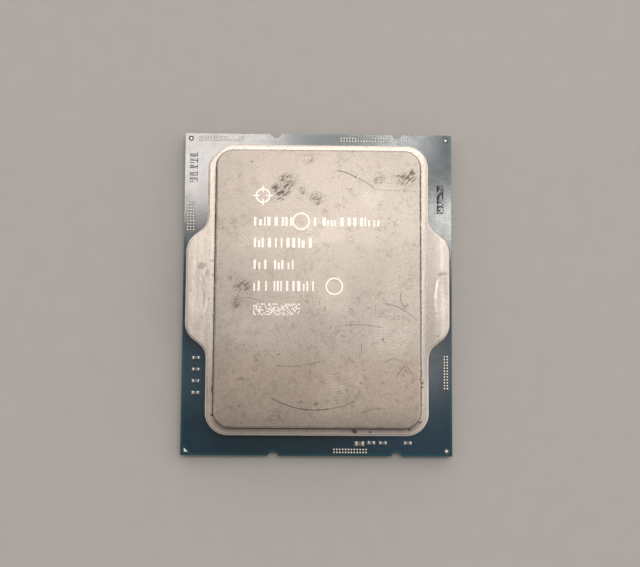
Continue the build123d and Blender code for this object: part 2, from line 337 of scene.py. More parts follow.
# ---- Laminate ---------------------------------------------------------------------------------
# The carrier is a woven glass and epoxy core with a resin build-up film on each face, laminated
# in a press and routed to shape with two round keys in each end. A dark blue-green solder mask,
# sprayed and cured hard, stops just short of the routed edge, where the film shows through.
core_low, core_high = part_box("substrate_core")
board_half_width = (core_high.x - core_low.x) / 2 / mm
board_half_length = (core_high.y - core_low.y) / 2 / mm
key_notches_x = (-5.98, 11.05)
key_notch_centre_y = 22.7
key_notch_radius = 0.75
mask_refraction = 1.64


def depth_inside_board(finish):
    """How far a point lies inside the routed outline, in mm, with the key notches counted."""
    side = board_half_width - abs(finish.x)
    end = board_half_length - abs(finish.y)
    depth = side.at_most(end)
    from_centre = abs(finish.y) - key_notch_centre_y
    rise = from_centre * from_centre
    for x in key_notches_x:
        across = finish.x - x
        depth = depth.at_most(across.squared_plus(rise).root() - key_notch_radius)
    return depth


mask = Finish("solder_mask_enamel", (0.009, 0.033, 0.052), 0.13)
mask_rim = depth_inside_board(mask).fade(0.42, 0.24)
mask_depth = mask.cloud(6.0, detail=3.0, warp=0.6).fade(0.35, 0.65)
mask.colour = mask.tint(mask_depth, (0.0080, 0.031, 0.050), (0.0098, 0.037, 0.057))
mask.stain(mask_rim, (0.009, 0.060, 0.074))
lint_patch = mask.cloud(3.0, detail=1.0).fade(0.50, 0.68)
lint = mask.cloud(0.16, detail=1.0, warp=1.5).fade(0.70, 0.78) * lint_patch
mask.stain(lint, (0.16, 0.17, 0.17))
mask_haze = mask.cloud(1.4, detail=4.0, rough=0.6).fade(0.3, 0.75)
mask_peel = mask.relief(mask.cloud(0.40, detail=2.0), 0.0012)
mask_swell = mask.relief(mask.cloud(4.0, detail=1.0), 0.0025, under=mask_peel)
mask.coat(
    base_color=mask.colour,
    roughness=mask_haze.between(0.12, 0.15).at_least(lint.between(0.0, 0.6)),
    normal=mask_swell,
)
mask.shader.inputs["IOR"].default_value = mask_refraction
for node in ("solder_mask_upper", "solder_mask_lower"):
    paint(frame["nodes"][node], mask)

film = Finish("build_up_film", (0.055, 0.13, 0.14), 0.45)
film_mottle = film.cloud(0.6, detail=4.0).fade(0.35, 0.7)
film_scoring = film.cloud(0.05, place=film.moved(stretch=(1.0, 1.0, 14.0)))
film.surface(film_mottle, (0.045, 0.11, 0.12), (0.070, 0.155, 0.16),
             roughness=(0.38, 0.55), depth=0.006, bumps=film_scoring)
for node in ("build_up_upper", "build_up_lower"):
    paint(frame["nodes"][node], film)

# Cut bundles of glass cloth show as pale lens shapes in rows along the routed edge.
glass_ply_height = 0.105
# A wave texture of scale 1 repeats every 0.314159 of its coordinates.
wave_repeat = 0.314159
core = Finish("glass_epoxy_core", (0.30, 0.33, 0.24), 0.55)
ply_wave = core.add("ShaderNodeTexWave", wave_type="BANDS", bands_direction="Z")
core.plug(ply_wave.inputs["Vector"], core.place)
core.plug(ply_wave.inputs["Scale"], wave_repeat / glass_ply_height)
core.plug(ply_wave.inputs["Distortion"], 1.2)
core.plug(ply_wave.inputs["Detail Scale"], 1.5)
bundles = core.cloud(0.10, detail=1.0, place=core.moved(stretch=(5.0, 5.0, 1.0)))
bundles = bundles.fade(0.35, 0.6) * ply_wave.outputs["Fac"]
router_lines = core.cloud(0.04, place=core.moved(stretch=(1.0, 1.0, 20.0)))
core.surface(bundles, (0.20, 0.24, 0.15), (0.46, 0.47, 0.36),
             roughness=(0.6, 0.42), depth=0.012, bumps=router_lines)
paint(frame["nodes"]["substrate_core"], core)

# ---- Printed board marks ----------------------------------------------------------------------
# A trace code and a batch row are printed on the solder mask in flat black ink. Both are plain
# generic patterns here: random cells in a frame, and groups of tick bars.
mask_level = laminate_top / mm
ink_under, ink_over = 0.002, 0.004
ink_z = (mask_level - ink_under, mask_level + ink_over)
code_x = (16.72, 17.65)
code_y = (11.30, 15.25)
code_columns, code_rows = 5, 21
code_frame = 0.07
code_fill = 0.48
cell_share = 0.96
batch_x = (-18.10, -17.00)
batch_group_y = (15.55, 16.45, 17.35, 18.25, 19.15)
batch_group_length = 0.70
batch_tick_places = (0.00, 0.17, 0.34, 0.51)
batch_tick_reaches = (0.55, 0.8, 1.0)
batch_tick_width = 0.10


def loft(mesh, rings):
    """Add a closed skin over rings of points given in mm, with a flat face over each end."""
    loops = [[mesh.verts.new(Vector(point) * mm) for point in ring] for ring in rings]
    for lower, upper in zip(loops, loops[1:]):
        for i in range(len(lower)):
            j = (i + 1) % len(lower)
            mesh.faces.new((lower[i], lower[j], upper[j], upper[i]))
    mesh.faces.new(reversed(loops[0]))
    mesh.faces.new(loops[-1])


def box_bar(mesh, x0, x1, y0, y1, z0, z1):
    """Add a thin flat bar of ink or frosting, given by its edges in mm."""
    loft(mesh, [[(x0, y0, z), (x1, y0, z), (x1, y1, z), (x0, y1, z)] for z in (z0, z1)])


def assemble(name, mesh, finish, stands_for=()):
    """Close a built mesh into a finished piece that is fixed to the part."""
    crease = math.radians(32)
    bmesh.ops.recalc_face_normals(mesh, faces=mesh.faces)
    data = bpy.data.meshes.new(name)
    mesh.to_mesh(data)
    mesh.free()
    data.shade_smooth()
    data.set_sharp_from_angle(angle=crease)
    piece = bpy.data.objects.new(name, data)
    scene.collection.objects.link(piece)
    paint(piece, finish)
    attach(piece, "root")
    if stands_for:
        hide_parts(*stands_for)
    return piece


ink_finish = Finish("black_ink", (0.012, 0.016, 0.020), 0.62)
ink_wear = ink_finish.cloud(0.25, detail=3.0).fade(0.55, 0.75)
ink_finish.surface(ink_wear, (0.010, 0.014, 0.018), (0.035, 0.045, 0.052),
                   roughness=(0.65, 0.4), depth=0.002, bumps=ink_finish.cloud(0.08))
ink = bmesh.new()
chance = random.Random(11)
code_inner_x = (code_x[0] + code_frame, code_x[1] - code_frame)
code_inner_y = (code_y[0] + code_frame, code_y[1] - code_frame)
cell_width = (code_inner_x[1] - code_inner_x[0]) / code_columns
cell_height = (code_inner_y[1] - code_inner_y[0]) / code_rows
for row in range(code_rows):
    for column in range(code_columns):
        if chance.random() < code_fill:
            x = code_inner_x[0] + column * cell_width
            y = code_inner_y[0] + row * cell_height
            box_bar(ink, x, x + cell_share * cell_width, y, y + cell_share * cell_height, *ink_z)
for edges in (
    (code_x[0], code_inner_x[0], *code_y),
    (code_inner_x[1], code_x[1], *code_y),
    (*code_inner_x, code_y[0], code_inner_y[0]),
    (*code_inner_x, code_inner_y[1], code_y[1]),
):
    box_bar(ink, *edges, *ink_z)
for group_y in batch_group_y:
    for tick in chance.sample(batch_tick_places, 3):
        reach = chance.choice(batch_tick_reaches) * (batch_x[1] - batch_x[0])
        tick_y = group_y + tick
        box_bar(ink, batch_x[0], batch_x[0] + reach, tick_y, tick_y + batch_tick_width, *ink_z)
    box_bar(ink, batch_x[1] - batch_tick_width, batch_x[1],
            group_y, group_y + batch_group_length, *ink_z)
assemble("board_print", ink, ink_finish)

# ---- Plated contacts --------------------------------------------------------------------------
# Test pads, sight marks and the corner mark on top, and 1700 flat lands below, are copper pads
# plated with nickel and a thin layer of gold, so their faces are soft-edged and slightly matt.
# A ring of bare laminate shows round each pad on top, where the enamel stops short of it.
pad_sides = 18
sight_mark_sides = 28
pad_root_depth = 0.005
mark_root_depth = 0.003
window_gap = 0.06
sight_window_gap = 0.20
window_z = (mask_level - 0.004, mask_level + 0.003)
corner_mark_soft_edge = 0.015
corner_mark_edge_height = 0.006
corner_mark_point_draw = 2.4
land_sides = 12
land_radius = 0.30
land_pitch = 0.9144
land_count = 1700
land_columns_out, land_rows_out = 23, 25
land_bare_half = (7.0, 10.0)
land_edge_margin = 0.85
land_notch_margin = 1.35
land_centre_y = 0.46
land_face_depth = 0.02
land_height = 0.025


def corners_of(points):
    """The lowest and highest corners of a box round some points."""
    return tuple(tuple(edge(point[axis] for point in points) for axis in range(3))
                 for edge in (min, max))


def solids_of(node):
    """The lowest and highest corners, in mm, of each separate solid of a CAD node."""
    mesh = bmesh.new()
    mesh.from_mesh(frame["nodes"][node].data)
    bmesh.ops.remove_doubles(mesh, verts=mesh.verts, dist=1e-7)
    waiting = set(mesh.verts)
    solids = []
    while waiting:
        front = [waiting.pop()]
        found = []
        while front:
            vertex = front.pop()
            found.append(vertex.co / mm)
            for edge in vertex.link_edges:
                other = edge.other_vert(vertex)
                if other in waiting:
                    waiting.discard(other)
                    front.append(other)
        solids.append(corners_of(found))
    mesh.free()
    return sorted(solids)


def middle_of(low, high):
    return (low[0] + high[0]) / 2, (low[1] + high[1]) / 2


def box_mm(node):
    """The lowest and highest corners of a whole CAD node, in mm."""
    return tuple(tuple(value / mm for value in corner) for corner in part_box(node))


def circle(x, y, radius, z, sides):
    """Points round a level circle."""
    angles = [math.tau * i / sides for i in range(sides)]
    return [(x + radius * math.cos(angle), y + radius * math.sin(angle), z) for angle in angles]


def soft_disc(mesh, x, y, radius, root_z, face_z, sides):
    """Add a plated disc whose rim rolls over into its face."""
    height = face_z - root_z
    loft(mesh, [circle(x, y, radius * share, root_z + rise * height, sides)
                for share, rise in ((1.0, 0.0), (1.0, 0.55), (0.93, 0.88), (0.80, 1.0))])


def ring_bar(mesh, x, y, radius, width, z0, z1, sides=48):
    """Add a thin flat ring, its middle line at radius, in mm."""
    outer, inner = radius + width / 2, radius - width / 2
    rims = []
    for reach, z in ((outer, z0), (outer, z1), (inner, z1), (inner, z0)):
        rims.append([mesh.verts.new(Vector(point) * mm) for point in circle(x, y, reach, z, sides)])
    for first, second in zip(rims, rims[1:] + rims[:1]):
        for i in range(sides):
            j = (i + 1) % sides
            mesh.faces.new((first[i], first[j], second[j], second[i]))


def plate(node, name, root_depth, gap, sides):
    """Plate every round pad of a CAD node, and bare the laminate round each."""
    pads = bmesh.new()
    for low, high in solids_of(node):
        middle, radius = middle_of(low, high), (high[0] - low[0]) / 2
        soft_disc(pads, *middle, radius, low[2] - root_depth, high[2], sides)
        ring_bar(windows, *middle, radius + gap / 2, gap, *window_z, sides=sides)
    assemble(name, pads, gold, [node])


gold = Finish("plated_contact_gold", (0.97, 0.94, 0.86), 0.42, metallic=0.5)
gold_tone = gold.cloud(0.9).fade(0.35, 0.65)
gold_grain = gold.cloud(0.05, detail=3.0)
gold.surface(gold_tone, (0.97, 0.93, 0.83), (1.0, 0.98, 0.93),
             roughness=(0.32, 0.52), depth=0.002, grain=gold_grain)
windows = bmesh.new()
for group in ("top_left", "top_right", "square", "left", "right", "bottom"):
    pad_node = "test_pads_" + group
    plate(pad_node, "plated_" + pad_node, pad_root_depth, window_gap, pad_sides)
plate("fiducials", "plated_sight_marks", mark_root_depth, sight_window_gap, sight_mark_sides)

window_finish = Finish("bare_laminate_ring", (0.035, 0.045, 0.040), 0.6)
window_weave = window_finish.cloud(0.12, detail=3.0)
window_finish.coat(
    base_color=window_finish.tint(window_weave, (0.060, 0.075, 0.075), (0.130, 0.140, 0.130)),
    roughness=window_weave.between(0.50, 0.70),
)
assemble("mask_windows", windows, window_finish)

# The corner mark is a right-angled triangle, drawn in more at its two sharp points.
corner_low, corner_high = box_mm("pin_one_mark")
corner_rings = []
for edge, z in ((0.0, corner_low[2] - mark_root_depth),
                (0.0, corner_high[2] - corner_mark_edge_height),
                (corner_mark_soft_edge, corner_high[2])):
    x, y, point = corner_low[0] + edge, corner_low[1] + edge, corner_mark_point_draw * edge
    corner_rings.append([(x, y, z), (corner_high[0] - point, y, z), (x, corner_high[1] - point, z)])
corner = bmesh.new()
loft(corner, corner_rings)
assemble("plated_corner_mark", corner, gold, ["pin_one_mark"])

# The lands stand in a staggered grid; the ones farthest from the bare middle are kept.
land_face = box_mm("solder_mask_lower")[0][2] - land_face_depth
column_pitch = land_pitch * math.sqrt(3) / 2
sites = []
for column in range(-land_columns_out, land_columns_out + 1):
    for row in range(-land_rows_out, land_rows_out + 1):
        x = column * column_pitch
        y = (row + (column % 2) / 2) * land_pitch
        past_side = abs(x) > board_half_width - land_edge_margin
        past_end = abs(y) > board_half_length - land_edge_margin
        in_notch = any(math.hypot(x - notch, abs(y) - key_notch_centre_y) < land_notch_margin
                       for notch in key_notches_x)
        if not (past_side or past_end or in_notch):
            from_middle = max(abs(x) / land_bare_half[0],
                              abs(y - land_centre_y) / land_bare_half[1])
            sites.append((from_middle, x, y))
sites.sort(reverse=True)
lands = bmesh.new()
for _, x, y in sites[:land_count]:
    soft_disc(lands, x, y, land_radius, land_face + land_height, land_face, land_sides)
assemble("contact_lands", lands, gold)

# ---- Chip capacitors --------------------------------------------------------------------------
# Ceramic chip capacitors are pressed, fired blocks dipped at both ends in tin-plated caps with
# rolled edges. Each is reflow soldered to its pads, so a hollow fillet climbs each outer end.
# Four sit left, three small ones and one tan one sit at the near edge, and 45 are underneath.
ceramic_soft_edge = 0.03
ceramic_corner = 0.035
cap_corner = 0.045
cap_roll = 0.05
cap_wall = 0.02
cap_swell = 0.004
cap_shoulder = 0.015
cap_lip, cap_lip_drop = 0.03, 0.012
solder_toe = 0.08
solder_dip = 0.02
toe_least, climb_least = 0.35, 0.25


def chip_section(x, low, high, inset, foot_inset, corner, steps=4):
    """Points of a rounded rectangle across a chip at x, drawn in from the chip's box."""
    y0, y1 = low[1] + inset, high[1] - inset
    z0, z1 = low[2] + foot_inset, high[2] - inset
    points = []
    for y, z, start in ((y1 - corner, z1 - corner, 0), (y0 + corner, z1 - corner, 90),
                        (y0 + corner, z0 + corner, 180), (y1 - corner, z0 + corner, 270)):
        for step in range(steps):
            angle = math.radians(start + 90 * step / (steps - 1))
            points.append((x, y + corner * math.cos(angle), z + corner * math.sin(angle)))
    return points


def ceramic_block(mesh, low, high):
    """Add one fired block with slightly softened edges."""
    soft = ceramic_soft_edge
    loft(mesh, [chip_section(x, low, high, inset, inset, ceramic_corner) for x, inset in (
        (low[0], soft), (low[0] + soft, 0.0), (high[0] - soft, 0.0), (high[0], soft))])


def end_cap(mesh, low, high, outward, hollow):
    """Add one plated end cap: closed and rolled over at the outer end, with a lip inside."""
    outer, inner = (high[0], low[0]) if outward > 0 else (low[0], high[0])
    stations = [
        (outer, cap_roll), (outer - outward * cap_shoulder, cap_roll * 0.45),
        (outer - outward * cap_roll, 0.0), (inner + outward * cap_lip, -cap_swell),
        (inner, cap_lip_drop),
    ]
    if hollow:
        lining = cap_wall * 1.1
        stations += [(inner + outward * 0.004, lining), (outer - outward * cap_wall * 1.2, lining)]
    loft(mesh, [chip_section(x, low, high, inset, max(inset, 0.0), cap_corner)
                for x, inset in stations])


def solder_fillet(mesh, low, high, outward, bead_base):
    """Add the solder under one cap, drawn up its outer end in a hollow curve."""
    heel, toe = (low[0], high[0]) if outward > 0 else (high[0], low[0])
    cap_end = toe - outward * solder_toe
    middle, half = (low[1] + high[1]) / 2, (high[1] - low[1]) / 2
    dip = bead_base - solder_dip
    rings = []
    for share in (-1.0, -0.96, -0.82, -0.5, 0.0, 0.5, 0.82, 0.96, 1.0):
        fullness = math.sqrt(max(0.0, 1.0 - abs(share) ** 4))
        toe_x = cap_end + outward * solder_toe * (toe_least + (1 - toe_least) * fullness)
        climb = climb_least + (1 - climb_least) * fullness
        top_z = bead_base + (high[2] - bead_base) * climb
        profile = [(heel, bead_base), (heel, low[2]), (toe_x, low[2])]
        for step in range(6):
            angle = math.pi / 2 * step / 5
            profile.append((toe_x - (toe_x - cap_end) * math.sin(angle),
                            dip + (top_z - dip) * (1 - math.cos(angle))))
        profile.append((cap_end, bead_base))
        rings.append([(x, middle + share * half, z) for x, z in profile])
    loft(mesh, rings)


def outward_of(low, high, blocks):
    """Which way along X the outer end of a cap or a joint looks, from its nearest block."""
    middle = middle_of(low, high)
    nearest = min((middle_of(*block) for block in blocks), key=lambda at: math.dist(at, middle))
    return 1 if middle[0] > nearest[0] else -1


def ceramic_finish(name, dark, pale):
    finish = Finish(name, pale, 0.5)
    speckle = finish.cloud(0.06, detail=4.0, rough=0.6).fade(0.35, 0.7)
    finish.surface(speckle, dark, pale, roughness=(0.42, 0.6), depth=0.004)
    return finish


grey_ceramic = ceramic_finish("grey_fired_ceramic", (0.135, 0.150, 0.155), (0.215, 0.235, 0.240))
tan_ceramic = ceramic_finish("tan_fired_ceramic", (0.185, 0.135, 0.080), (0.275, 0.210, 0.130))

tin = Finish("matt_tin_plate", (0.62, 0.66, 0.70), 0.38, metallic=0.9)
tin_crystals = tin.cloud(0.045, detail=3.0)
tin.surface(tin_crystals, (0.46, 0.50, 0.54), (0.76, 0.80, 0.84),
            roughness=(0.28, 0.5), depth=0.004)

solder = Finish("reflowed_solder", (0.50, 0.50, 0.50), 0.3, metallic=1.0)
solder_frost = solder.cloud(0.08, detail=3.0).fade(0.4, 0.65)
solder.surface(solder_frost, (0.36, 0.37, 0.38), (0.55, 0.55, 0.55),
               roughness=(0.22, 0.42), depth=0.003)

for group, block_node, block_finish, block_slot in (
    ("side", "side_capacitor_bodies", grey_ceramic, "capacitor_ceramic"),
    ("edge", "edge_capacitor_bodies", grey_ceramic, "capacitor_ceramic"),
    ("large", "large_capacitor_body", tan_ceramic, "tan_ceramic"),
    ("land", "land_capacitor_bodies", grey_ceramic, "capacitor_ceramic"),
):
    underneath = group == "land"
    blocks = solids_of(block_node)
    ceramic = bmesh.new()
    for low, high in blocks:
        ceramic_block(ceramic, low, high)
    assemble(f"{group}_capacitor_ceramic", ceramic, block_finish, [block_node])

    cap_node = f"{group}_capacitor_terminals"
    cap_solids = solids_of(cap_node)
    caps = bmesh.new()
    for low, high in cap_solids:
        end_cap(caps, low, high, outward_of(low, high, blocks), hollow=not underneath)
    assemble(f"{group}_capacitor_caps", caps, tin, [cap_node])

    if not underneath:
        solder_node = f"{group}_capacitor_solder"
        cap_base = cap_solids[0][0][2]
        joints = bmesh.new()
        for low, high in solids_of(solder_node):
            solder_fillet(joints, low, high, outward_of(low, high, blocks), cap_base)
        assemble(f"{group}_capacitor_joints", joints, solder, [solder_node])

# ---- Die, bumps, underfill and heat path ------------------------------------------------------
# Under the lid a polished silicon die stands on a sheet of tin solder bumps. Dark resin has been
# drawn under it and set, and a soft indium preform, melted in place, joins the die to the lid.
die_finish = Finish("polished_silicon", (0.12, 0.13, 0.15), 0.12, metallic=0.8)
saw_lines = die_finish.cloud(0.03, place=die_finish.moved(stretch=(1.0, 1.0, 12.0)))
die_finish.surface(die_finish.cloud(2.0), (0.10, 0.11, 0.13), (0.15, 0.16, 0.18),
                   roughness=(0.08, 0.22), depth=0.002, grain=saw_lines)
paint(frame["nodes"]["silicon_die"], die_finish)
paint(frame["nodes"]["solder_bump_layer"], solder)

resin = Finish("underfill_resin", (0.022, 0.024, 0.028), 0.32)
resin_filler = resin.cloud(0.05, detail=3.0)
resin.surface(resin_filler, (0.016, 0.018, 0.022), (0.040, 0.042, 0.046),
              roughness=(0.25, 0.45), depth=0.02, bumps=resin.cloud(0.5))
paint(frame["nodes"]["underfill_fillet"], resin)

indium = Finish("indium_preform", (0.66, 0.66, 0.66), 0.45, metallic=1.0)
indium_grain = indium.cloud(0.25, detail=4.0, warp=0.8)
indium.surface(indium_grain, (0.55, 0.55, 0.56), (0.74, 0.73, 0.72),
               roughness=(0.35, 0.6), depth=0.006)
paint(frame["nodes"]["thermal_interface"], indium)

# ---- Lid sealant ------------------------------------------------------------------------------
# Grey-black silicone is laid in two C-shaped beads under the lid's foot and squeezed flat when
# the lid goes on, so its sides bulge. Gaps at both short ends let the cavity breathe.
foot_centre_y = 0.46
bead_reach = (14.90, 19.69)
bead_width = 1.6
bead_corner = 3.1
bead_spacing = 0.35
bead_sides = 12
bead_slack = 0.06
bead_end_points = 3
# Height and pace of the two slow waves in a bead's width.
bead_waves = ((0.03, 0.9), (0.02, 2.3))
vent_gap = 2.0


def box_point(x, y, half, corner, centre_y):
    """The nearest point of a rounded rectangle's outline, with its outward direction."""
    reach_x, reach_y = half[0] - corner, half[1] - corner
    over_x, over_y = abs(x) - reach_x, abs(y - centre_y) - reach_y
    sign_x, sign_y = math.copysign(1, x), math.copysign(1, y - centre_y)
    if over_x > 0 and over_y > 0:
        away = math.hypot(over_x, over_y)
        out = (sign_x * over_x / away, sign_y * over_y / away)
        foot = (sign_x * reach_x + corner * out[0], centre_y + sign_y * reach_y + corner * out[1])
    elif over_x > over_y:
        out, foot = (sign_x, 0.0), (sign_x * half[0], y)
    else:
        out, foot = (0.0, sign_y), (x, centre_y + sign_y * half[1])
    return foot, out


def box_path(half, corner, centre_y, spacing):
    """Points at an even spacing clockwise round a rounded rectangle, from its far middle."""
    reach_x, reach_y = half[0] - corner, half[1] - corner
    legs = (
        ((0, half[1]), (reach_x, half[1])), ((half[0], reach_y), (half[0], -reach_y)),
        ((reach_x, -half[1]), (-reach_x, -half[1])), ((-half[0], -reach_y), (-half[0], reach_y)),
        ((-reach_x, half[1]), (0, half[1])),
    )
    bends = ((reach_x, reach_y, 90), (reach_x, -reach_y, 0), (-reach_x, -reach_y, -90),
             (-reach_x, reach_y, -180), None)
    points = []
    for (start, end), bend in zip(legs, bends):
        steps = max(1, round(math.dist(start, end) / spacing))
        for share in (step / steps for step in range(steps)):
            points.append((start[0] + (end[0] - start[0]) * share,
                           centre_y + start[1] + (end[1] - start[1]) * share))
        if bend:
            steps = max(3, round(math.pi / 2 * corner / spacing))
            for angle in (math.radians(bend[2] - 90 * step / steps) for step in range(steps)):
                points.append((bend[0] + corner * math.cos(angle),
                               centre_y + bend[1] + corner * math.sin(angle)))
    return points


def bulged(angle, power_across, power_up):
    """A point of a squeezed round section, as shares of its half width and half height."""
    across, up = math.cos(angle), math.sin(angle)
    return (math.copysign(abs(across) ** power_across, across),
            math.copysign(abs(up) ** power_up, up))


silicone = Finish("lid_silicone", (0.045, 0.045, 0.048), 0.55)
silicone_skin = silicone.cloud(0.3, detail=3.0)
silicone.surface(silicone_skin, (0.030, 0.030, 0.033), (0.060, 0.060, 0.062),
                 roughness=(0.45, 0.65), depth=0.015)
seal_low, seal_high = box_mm("lid_sealant")
seal_middle_z = (seal_low[2] + seal_high[2]) / 2
seal_half_height = (seal_high[2] - seal_low[2]) / 2
seal_shape = ((bead_reach[0] - bead_width / 2, bead_reach[1] - bead_width / 2),
              bead_corner - bead_width / 2, foot_centre_y)
seal_path = box_path(*seal_shape, bead_spacing)
beads = bmesh.new()
chance = random.Random(5)
for side in (1, -1):
    line = [point for point in seal_path if side * point[0] > vent_gap / 2]
    phases = [chance.uniform(0, math.tau) for _ in range(3)]
    rings = []
    for index, (x, y) in enumerate(line):
        _, out = box_point(x, y, *seal_shape)
        run = index * bead_spacing
        swell = sum(height * math.sin(run * pace + phase)
                    for (height, pace), phase in zip(bead_waves, phases))
        from_end = min(index, len(line) - 1 - index)
        fullness = min(from_end + 0.4, bead_end_points) / bead_end_points
        half = (bead_width / 2 - bead_slack + swell) * math.sqrt(1 - (1 - fullness) ** 2)
        ring = []
        for step in range(bead_sides):
            across, rise = bulged(math.tau * step / bead_sides, 0.35, 0.5)
            ring.append((x + out[0] * across * half, y + out[1] * across * half,
                         seal_middle_z + rise * seal_half_height))
        rings.append(ring)
    loft(beads, rings)
assemble("sealant_beads", beads, silicone, ["lid_sealant"])

# ---- Lid --------------------------------------------------------------------------------------
# The lid is a copper blank coined in a press and nickel plated: a flange with a clamping ear on
# each long side, a raised flat seat for the cooler and a cavity below. The press leaves rolled
# edges and a shallow dimple in each ear. Use has left scuffs, finger marks and dirt in the root;
# painted shade, a painted shadow and painted highlights are laid over the plating as well.
lid_low, lid_high = box_mm("lid")
seat_z, foot_z = lid_high[2], lid_low[2]
flange_z = frame["record"]["mounts"][1]["pos_m"][2] / mm
flange_edge = 0.28
# Clockwise: x, y and radius of each corner.
flange_corners = (
    (-15.30, 18.25, 2.4), (-12.80, 20.55, 2.4), (15.30, 20.55, 3.1), (15.30, 9.22, 2.4),
    (18.20, 6.93, 2.9), (18.20, -5.73, 2.9), (15.30, -8.02, 2.4), (15.30, -19.63, 3.1),
    (-15.30, -19.63, 3.1), (-15.30, -8.02, 2.4), (-18.20, -5.73, 2.9), (-18.20, 6.93, 2.9),
    (-15.30, 9.22, 2.4),
)
corner_steps = 24
seat_half = (14.08, 19.06)
seat_corner = 2.3
seat_centre_y = 0.52
shoulder = 0.30
root_fillet = 0.10
cavity_half = (12.90, 17.69)
cavity_corner = 2.0
cavity_z = foot_z + 0.75
outline_spacing = 0.26
flange_rings = 28
# Each dimple: middle, half sizes, depth and the side its steep edge is on.
ear_dimples = (
    (-16.55, -0.45, 1.20, 3.3, 0.030, 1),
    (17.10, -0.15, 1.15, 3.1, 0.030, -1),
)
# The metal pushed up beside a dimple, as shares of the dimple's depth and of its half size.
lift_share, lift_end = 0.25, 1.6
lift_rise, lift_fall = (0.96, 1.06), (1.10, 1.45)


def smooth(value, low, high):
    share = min(1.0, max(0.0, (value - low) / (high - low)))
    return share * share * (3 - 2 * share)


def pressed_outline(corners, spacing):
    """Evenly spaced points, with outward directions, round corners blended by their radii."""
    path = []
    for index, (x, y, radius) in enumerate(corners):
        corner = Vector((x, y))
        before = Vector(corners[index - 1][:2]) - corner
        after = Vector(corners[(index + 1) % len(corners)][:2]) - corner
        half_angle = before.angle(after) / 2
        reach = radius / math.tan(half_angle)
        middle_line = (before.normalized() + after.normalized()).normalized()
        centre = corner + middle_line * radius / math.sin(half_angle)
        first = corner + before.normalized() * reach - centre
        last = corner + after.normalized() * reach - centre
        sweep = first.angle_signed(last)
        for step in range(corner_steps + 1):
            arm = first.copy()
            arm.rotate(Matrix.Rotation(-sweep * step / corner_steps, 2))
            path.append(centre + arm)
    runs = [0.0]
    for here, there in zip(path, path[1:] + path[:1]):
        runs.append(runs[-1] + (there - here).length)
    count = round(runs[-1] / spacing)
    points = []
    leg = 0
    for index in range(count):
        run = runs[-1] * index / count
        while runs[leg + 1] < run:
            leg += 1
        share = (run - runs[leg]) / max(1e-9, runs[leg + 1] - runs[leg])
        points.append(path[leg].lerp(path[(leg + 1) % len(path)], share))
    outline = []
    for index, point in enumerate(points):
        along = points[(index + 1) % count] - points[index - 1]
        out = Vector((-along.y, along.x)).normalized()
        outline.append(((point.x, point.y), (out.x, out.y)))
    return outline


def ear_relief(x, y):
    """How far the flange is pressed down at a point of its top, in mm."""
    drop = 0.0
    for middle_x, middle_y, reach_x, reach_y, depth, steep in ear_dimples:
        across, along = (x - middle_x) / reach_x, (y - middle_y) / reach_y
        ring = math.hypot(across, along)
        if ring < lift_end:
            facing = 0.5 + 0.5 * steep * across / max(ring, 1e-6)
            edge = 0.80 - 0.45 * smooth(facing, 0.45, 0.95)
            lifted = smooth(ring, *lift_rise) * (1 - smooth(ring, *lift_fall))
            drop += depth * (1 - smooth(ring, 1 - edge, 1.0))
            drop -= lift_share * depth * facing * lifted
    return drop


def inset(outline, distance, z):
    return [(x - out_x * distance, y - out_y * distance, z) for (x, y), (out_x, out_y) in outline]


def rolled_edge(outline, radius, z, steps):
    """Rings that roll an upright wall over into a flat top at z."""
    angles = [math.radians(90 * step / steps) for step in range(steps + 1)]
    return [inset(outline, radius * (1 - math.cos(a)), z - radius * (1 - math.sin(a)))
            for a in angles]


flange_outline = pressed_outline(flange_corners, outline_spacing)
seat_outline = [box_point(*point, seat_half, seat_corner, seat_centre_y)
                for point, _ in flange_outline]
cavity_outline = [box_point(*point, cavity_half, cavity_corner, foot_centre_y)
                  for point, _ in flange_outline]

lid_rings = [inset(outline, distance, z) for outline, distance, z in (
    (cavity_outline, 0.10, cavity_z),
    (cavity_outline, 0.03, cavity_z - 0.03),
    (cavity_outline, 0.0, cavity_z - 0.10),
    (cavity_outline, 0.0, foot_z + 0.04),
    (cavity_outline, -0.04, foot_z),
    (flange_outline, 0.06, foot_z),
    (flange_outline, 0.0, foot_z + 0.06),
    (flange_outline, 0.0, (foot_z + flange_z) / 2),
)]
lid_rings += rolled_edge(flange_outline, flange_edge, flange_z, 6)
flange_rim = inset(flange_outline, flange_edge, flange_z)
flange_root = inset(seat_outline, -root_fillet, flange_z)
for step in range(1, flange_rings + 1):
    share = step / flange_rings
    ring = []
    for (x0, y0, _), (x1, y1, _) in zip(flange_rim, flange_root):
        x, y = x0 + (x1 - x0) * share, y0 + (y1 - y0) * share
        ring.append((x, y, flange_z - ear_relief(x, y)))
    lid_rings.append(ring)
for step in range(1, 4):
    angle = math.radians(30 * step)
    lid_rings.append(inset(seat_outline, -root_fillet * (1 - math.sin(angle)),
                           flange_z + root_fillet * (1 - math.cos(angle))))
lid_rings.append(inset(seat_outline, 0.0, (flange_z + seat_z) / 2))
lid_rings += rolled_edge(seat_outline, shoulder, seat_z, 8)
lid = bmesh.new()
loft(lid, lid_rings)


def out_from_seat(finish):
    """Signed distance in mm from the raised seat's wall, positive over the flange."""
    over_x = abs(finish.x) - (seat_half[0] - seat_corner)
    over_y = abs(finish.y - seat_centre_y) - (seat_half[1] - seat_corner)
    beyond_x, beyond_y = over_x.at_least(0.0), over_y.at_least(0.0)
    squares = beyond_x.squared_plus(beyond_y * beyond_y)
    inside = over_x.at_least(over_y).at_most(0.0)
    return squares.root() + inside - seat_corner


